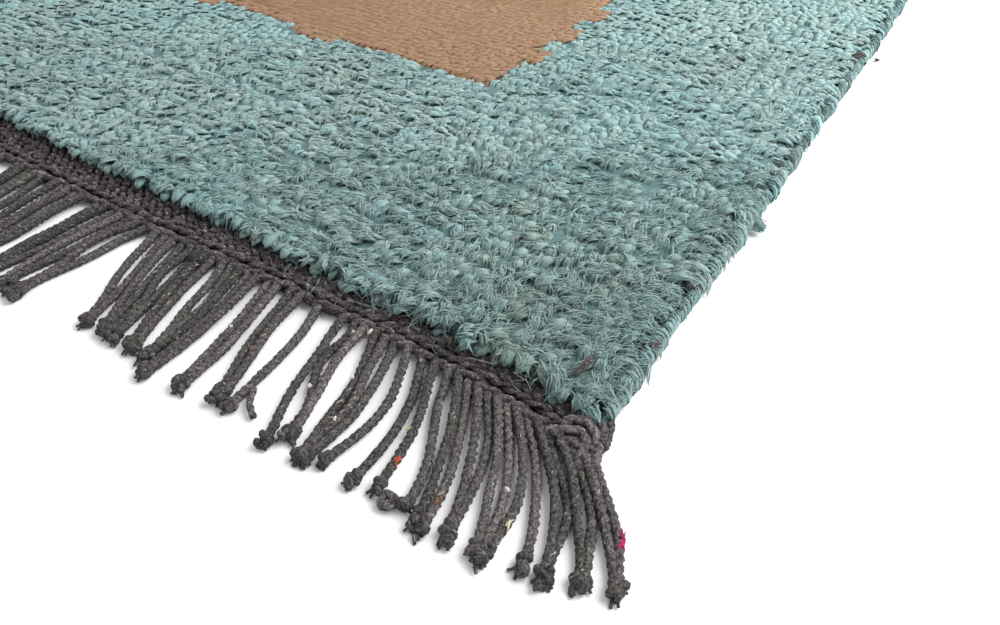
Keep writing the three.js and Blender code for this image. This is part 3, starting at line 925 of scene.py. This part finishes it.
def fringe(end, name):
    """Twisted cords with knotted tips, and a stray knot on the root line."""
    rng = default_rng(51 + end)
    yarns = Yarns(rng)
    for side in (1, -1):
        near = end < 0 and side > 0
        rings, sides, pitch = (40, 5, 6.0) if near else (14, 4, 10.0)
        t = linspace(0, 1, rings)
        line = cord_lines(side, end, t, rng)
        two_ply(yarns, line, CORD_RADIUS + 0.35 * np.exp(-t / 0.22), pitch, sides, rng)
        knobs(yarns, line, near, rng)
    if end < 0:
        corner_details(yarns, rng)
    s, r, z = STRAY_KNOT
    place = np.array([-end * (HALF_X - s), end * (HALF_Y + r), z])
    turn = linspace(0, 2 * pi, 11)[:, None]
    for _ in range(5):
        tilt = unit(rng.normal(0, 1, 3))
        flat = unit(np.cross(tilt, (0.0, 0.3, 1.0)))
        loop = place + flat * cos(turn) * 3.3 + np.cross(flat, tilt) * sin(turn) * 2.4
        loop[:, 2] = clip(loop[:, 2], 1.7, 5.5)
        yarns.tubes(loop[None], 1.6, 1.6, 6, (0.2, 0.3, 0.55), tilt)
    return yarns.make(f"fringe_cords_{name}", CORD, "charcoal_cord", f"fringe_{name}")


def at(s, r, z):
    """A place near the photographed corner."""
    return np.array([HALF_X - s, -HALF_Y - r, z])


def smooth(points, count):
    """A smooth line through a few points."""
    points = np.asarray(points, float)
    t = linspace(0, len(points) - 1, count)
    i = clip(t.astype(int), 0, len(points) - 2)
    f = (t - i)[:, None]
    ends = 2 * points[:1] - points[1:2], 2 * points[-1:] - points[-2:-1]
    padded = concatenate([ends[0], points, ends[1]])
    a, b, c, d = (padded[i + k] for k in range(4))
    curve = (2 * a - 5 * b + 4 * c - d) * f**2 + (3 * b - a - 3 * c + d) * f**3
    return 0.5 * (2 * b + (c - a) * f + curve)


# s, r and height of points on the thick strands that go over the edge at the photographed corner
CORNER_STRANDS = (
    (
        (16, 13, 5.4), (13, 9.6, 7), (9.5, 8.6, 7.2), (6, 9.6, 6.6), (3, 12, 5.4), (0.6, 16, 4),
        (-1, 22, 3),
    ),
    ((17, 17, 5), (12, 13.6, 6.2), (8, 12.6, 6), (4.6, 14.6, 5), (2.6, 19, 3.6), (1.6, 25, 2.8)),
    ((14, 20.5, 4.6), (9.6, 16.8, 5.4), (6, 17.6, 4.6), (5, 24, 3)),
    ((9, 4.5, 4.6), (5, 5.6, 5.6), (2.2, 8.6, 4.6), (1.2, 13, 3)),
    ((5.5, 0.5, 4.2), (2.6, 2.6, 4.8), (0.8, 6.4, 3.8), (0.6, 11, 2.6)),
)
LOOPED_TIP = (47.5, 68.0, 2.6)
LOOSE_CORD = ((117, 58, 2), (114, 63, 2), (111, 65.5, 2.4), (107.5, 67.5, 1.8))


def corner_details(yarns, rng):
    """What only the photographed corner has: thick strands over the edge, a looped tip and a loose
    bit of cord."""
    for k, strand in enumerate(CORNER_STRANDS):
        line = smooth([at(*p) for p in strand], 5 * len(strand))
        line = line + stack([bumps(line[:, 1], 3, 0.3, rng) for _ in range(3)], -1)
        line[:, 2] = maximum(line[:, 2], 2.2)
        two_ply(yarns, line[None], 2.0 - 0.12 * k, 11.0, 6, rng, 0.8 - 0.15 * k)
    turn = linspace(0.4, 2 * pi + 0.4, 16)
    ring = at(*LOOPED_TIP) + direction(turn, 0.7 * sin(turn)) * (2.1, 1.8, 1)
    two_ply(yarns, ring[None], 1.75, 7.0, 6, rng, 0.2)
    two_ply(yarns, smooth([at(*p) for p in LOOSE_CORD], 12)[None], 1.3, 7.0, 6, rng)


# Small coloured bits caught in the cords or the pile: s, r, length, height and colour
NEPS = (
    (-22, 40, 5, 3.6, (0.4, 0.02, 0.11)),
    (-21.5, 37, 4, 3.8, (0.22, 0.03, 0.07)),
    (54, 54.5, 4.5, 3.6, (0.42, 0.07, 0.04)),
    (11, 54, 4, 4, (0.5, 0.48, 0.3)),
    (34, 60, 5, 3.8, (0.13, 0.075, 0.045)),
    (18, 44, 2.2, 3.8, (0.45, 0.43, 0.39)),
    (83, 53, 2, 3.8, (0.5, 0.48, 0.45)),
    (93, 36, 2, 4.2, (0.5, 0.48, 0.45)),
    (101, 47, 2, 3.8, (0.5, 0.48, 0.45)),
    (147, 41, 2.4, 4, (0.42, 0.42, 0.38)),
    (99, 15, 2, 6.4, (0.5, 0.45, 0.42)),
    (105, 18, 2, 5, (0.5, 0.45, 0.42)),
    (59, 42, 3, 3.9, (0.26, 0.27, 0.12)),
    (60, 36, 3, 4, (0.05, 0.06, 0.13)),
    (210, 33, 2.2, 4, (0.16, 0.27, 0.28)),
    (131, 45, 4, 3.9, (0.2, 0.09, 0.09)),
    (165, 33, 4, 4, (0.2, 0.1, 0.1)),
    (79, -57.7, 2.6, 12.9, (0.22, 0.16, 0.17)),
)


def neps():
    """Each coloured bit is a few short fibres lying on the nearest cord, or in the pile."""
    rng = default_rng(61)
    line = cord_lines(1, -1, linspace(0, 1, 60), default_rng(50))
    made = []
    n = 7
    t = linspace(-0.5, 0.5, 5)
    for k, (s, r, length, height, colour) in enumerate(NEPS):
        yarns = Yarns(rng)
        place = at(s, r, height)
        ahead = np.array([0.3, -1.0, 0.0])
        if r > 20:
            gap = np.linalg.norm(line[..., :2] - place[:2], axis=-1)
            cord, step = np.unravel_index(gap.argmin(), gap.shape)
            ahead = line[cord, min(step + 1, 59)] - line[cord, min(step, 58)]
            place[:2] += (line[cord, step, :2] - place[:2]) * max(0, 1 - 0.9 / gap[cord, step])
        angle = np.arctan2(ahead[1], ahead[0]) + rng.normal(0, 0.45, n)
        long = length * rng.uniform(0.5, 1.1, (n, 1, 1))
        start = place + rng.normal(0, 0.4, (n, 3)) * (1, 1, 0.4)
        centre = straight(start, direction(angle), t, long)
        centre[..., 2] -= 1.2 * (t * 2) ** 2
        fat = 0.34 * np.array((0.3, 0.9, 1, 0.9, 0.2)) * rng.uniform(0.7, 1.3, (n, 1))
        yarns.tubes(centre, fat, fat, 4, (0.5, 0.5, 1.0))
        shade_colour, pale = ([min(1, c * f) for c in colour] for f in (0.4, 1.3))
        material = wool(f"nep {k}", colour, shade_colour, pale, bump=0.3)
        slot = "charcoal_cord" if r > 0 else "teal_pile"
        made.append(yarns.make(f"nep_{k + 1}", material, slot))
    return made


# Bits of charcoal yarn: s, r and height of both ends, thickness, strands. The first lies in the
# pile near the corner, and at the others the core of the side cord shows.
DARK_BITS = (
    ((20.6, -2.7, 12.6), (19.6, -13.5, 13.4), 0.85, 5),
    ((8.0, -72, 10.2), (4.0, -76, 9.2), 0.9, 4),
    ((6.0, -34, 10.2), (2.5, -37, 8.8), 0.9, 4),
    ((6.6, -330, 11.4), (3.0, -336, 10.2), 1.15, 6),
    ((-3.0, -356, 1.2), (-4.2, -358.5, 1.0), 0.8, 2),
)


def stray_yarn():
    rng = default_rng(71)
    yarns = Yarns(rng)
    for first, last, thick, strands in DARK_BITS:
        fat = thick * interp(linspace(0, 1, 8), (0, 0.3, 0.8, 1), (0.4, 1, 1, 0.4))
        for _ in range(strands):
            a, b = (at(*p) + rng.normal(0, 0.9 * thick, 3) * (1, 1, 0.25) for p in (first, last))
            line = smooth([a, (a + b) / 2 + rng.normal(0, 0.4, 3) + (0, 0, 0.5), b], 8)
            line[:, 2] = maximum(line[:, 2], 0.8)
            yarns.tubes(line[None], fat, fat, 6, (0.35, 0.6, 0.8), (0.3, 0.2, 1))
    return yarns.make("stray_yarn", CHARCOAL, "charcoal_wool")


def fibres():
    """Fine loose hairs at the pile's edges and over the pile near the corner."""
    rng = default_rng(81)
    yarns = Yarns(rng)
    n = 240
    one = (n, 1, 1)
    kind = rng.random(n)
    on_side = kind > 0.85
    at_end = ~on_side & (kind * 0.6 + 0.34 < 0.45)
    s = where(at_end, rng.uniform(0, 170, n), rng.uniform(0, 120, n))
    r = where(at_end, rng.normal(1.5, 2.5, n), -rng.uniform(0, 150, n))
    s = where(on_side, rng.normal(1.5, 1.0, n), s)
    z = where(on_side, 8.0, 11.0) + rng.normal(0, 1, n)
    z = where(at_end, rng.uniform(5, 11, n), z)
    angle = rng.uniform(0, 2 * pi, n)
    way = direction(angle, rng.uniform(0.0, 0.5, n)) - (0, 0.5, 0)
    aside = direction(angle + pi / 2, rng.normal(0, 0.4, n))
    length = where(on_side, rng.uniform(1.5, 4, n), rng.uniform(3, 8, n))
    t = linspace(0, 1, 7)
    centre = straight(at(s, r, z).T, way, t, length[:, None, None])
    bow = rng.normal(0, 2.4, one) * sin(pi * t[:, None] * rng.uniform(0.6, 1.5, one))
    centre = centre + aside[:, None] * bow
    centre[..., 2] = clip(centre[..., 2] - 3.0 * t**2, 2.0, 15.5)
    tone = join(rng.random((n, 1)), rng.uniform(0.3, 0.8, (n, 1)), 1.0)
    yarns.tubes(centre, 0.05, 0.05, 3, tone)
    return yarns.make("loose_fibres", HAIR, "teal_pile")


def fuzz():
    """Short curved fibre ends all over the pile and the side near the corner."""
    rng = default_rng(91)
    yarns = Yarns(rng)
    n = 3600
    s = 1.5 + 190 * rng.random(n) ** 1.7
    r = 1.0 - 260 * rng.random(n) ** 1.6
    x, y = HALF_X - s, -HALF_Y - r
    keep = -y < pile_end(x) + 1.0
    x, y, s = x[keep], y[keep], s[keep]
    n = len(x)
    room = np.minimum(s, pile_end(x) + y + 3.0)
    top = interp(room, (0, 3, 8), (6.5, 10.2, 12.0)) + rng.normal(0, 0.5, n)
    heading = NAP + rng.normal(0, 1.0, n)
    rise = rng.uniform(0.1, 0.9, n)[:, None]
    way = direction(heading) * cos(rise) + UP * sin(rise)
    t = np.array((0, 0.55, 1.0))
    length = rng.uniform(1.5, 3.6, (n, 1, 1))
    aside = direction(heading + pi / 2)[:, None] * rng.normal(0, 0.9, (n, 1, 1))
    centre = straight(join(x, y, top), way, t, length) + aside * t[:, None] ** 2
    centre[..., 2] -= 0.3 * t**2 * length[..., 0] * rise
    tone = join(rng.random((n, 1)), rng.uniform(0.2, 0.8, (n, 1)), 1.0)
    thin = rng.uniform(0.06, 0.11, (n, 1)) * (1, 0.8, 0)
    yarns.tubes(centre, thin, thin, 3, tone, pointed=True)
    return yarns.make("pile_fuzz", TEAL, "teal_pile")


# Floor, light and camera


def stage():
    a = FLOOR_SIZE
    me = bpy.data.meshes.new("floor")
    me.from_pydata([(-a, -a, 0), (a, -a, 0), (a, a, 0), (-a, a, 0)], [], [(0, 1, 2, 3)])
    paint = {"Base Color": (0.93, 0.925, 0.935), "Roughness": 0.9, "Specular IOR Level": 0.1}
    me.materials.append(Look("white floor", paint).material)
    show(bpy.data.objects.new("floor", me))
    world = bpy.data.worlds.new("studio")
    bpy.context.scene.world = world
    world.use_nodes = True
    background = world.node_tree.nodes["Background"]
    background.inputs[0].default_value = (1, 1, 1, 1)
    background.inputs[1].default_value = WORLD_STRENGTH
    lamp = bpy.data.lights.new("softbox", "AREA")
    lamp.shape = "DISK"
    lamp.size = LAMP_SIZE
    lamp.energy = LAMP_ENERGY
    light = show(bpy.data.objects.new("softbox", lamp))
    light.location = LAMP_PLACE
    light.visible_camera = False
    aim = Vector(LAMP_AIM) - light.location
    light.rotation_euler = aim.to_track_quat("-Z", "Y").to_euler()
    bpy.context.scene.view_settings.view_transform = "Standard"


def camera():
    data = bpy.data.cameras.new("photo")
    data.sensor_width = SENSOR_WIDTH
    data.lens = FOCAL_SHARE * SENSOR_WIDTH
    data.clip_start = 0.01
    obj = show(bpy.data.objects.new("photo", data))
    heading = Vector((*CAMERA_HEADING, 0)).normalized()
    ahead = heading * cos(CAMERA_PITCH) - Vector((0, 0, sin(CAMERA_PITCH)))
    right = Vector((heading.y, -heading.x, 0))
    up = right.cross(ahead)
    c, s = cos(CAMERA_ROLL), sin(CAMERA_ROLL)
    axes = (right * c + up * s, up * c - right * s, -ahead)
    place = Vector((HALF_X, -HALF_Y, 0)) / 1000
    place += Vector((*CAMERA_FROM_CORNER, 1)) * CAMERA_HEIGHT
    obj.matrix_world = Matrix.Translation(place) @ Matrix(axes).transposed().to_4x4()
    bpy.context.scene.camera = obj


camera()
stage()
cloth = ground()
parts = pile()
parts += [side_cord(1), side_cord(-1)]
for end, name in ((-1, "front"), (1, "back")):
    parts += [kilim(end, name), twined(end, name), fringe(end, name)]
parts += neps()
parts += [stray_yarn(), fibres(), fuzz()]
